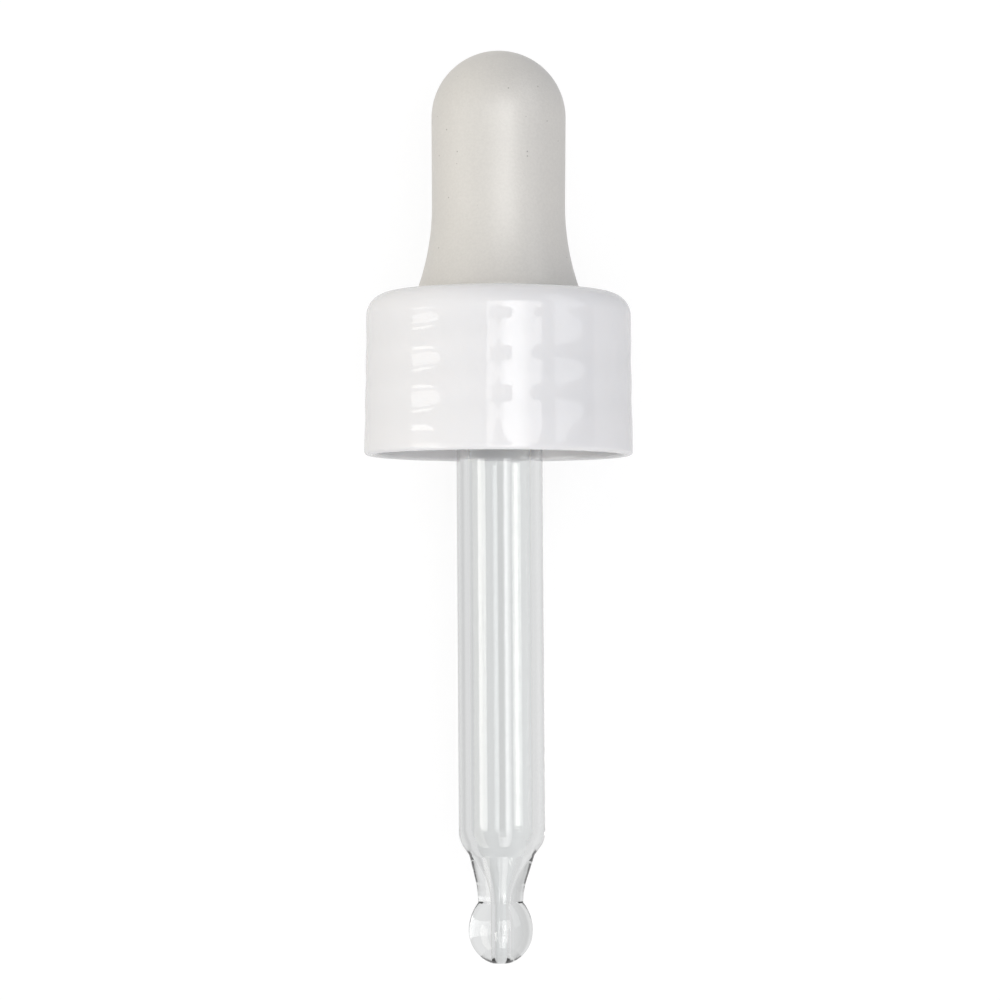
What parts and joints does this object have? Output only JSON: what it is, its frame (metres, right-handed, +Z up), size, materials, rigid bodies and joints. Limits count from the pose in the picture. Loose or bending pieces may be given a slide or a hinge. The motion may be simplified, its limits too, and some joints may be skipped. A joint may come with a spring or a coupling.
{
  "type": "dropper pipette with screw cap",
  "caption": "Dropper closure: a hollow rubber teat snapped through a smooth, internally threaded screw cap, gripping a glass pipette with a drawn shoulder and a ball tip.",
  "frame": {"origin": "on the surface that the closure lies on, below the middle of its length", "axes": "+Y from the glass tip towards the teat, +Z up; the closure lies on its cap's drafted skirt, so its own axis is tipped 0.8 degrees about X, with the glass tip high"},
  "size_m": [0.0218, 0.0742, 0.0219],
  "materials": {
    "clear_glass": "polished",
    "off_white_rubber": "matte",
    "white_plastic": "gloss"
  },
  "bodies": {
    "root": {"glass_pipette": "clear_glass", "rubber_teat": "off_white_rubber", "screw_cap": "white_plastic"}
  },
  "joints": []
}
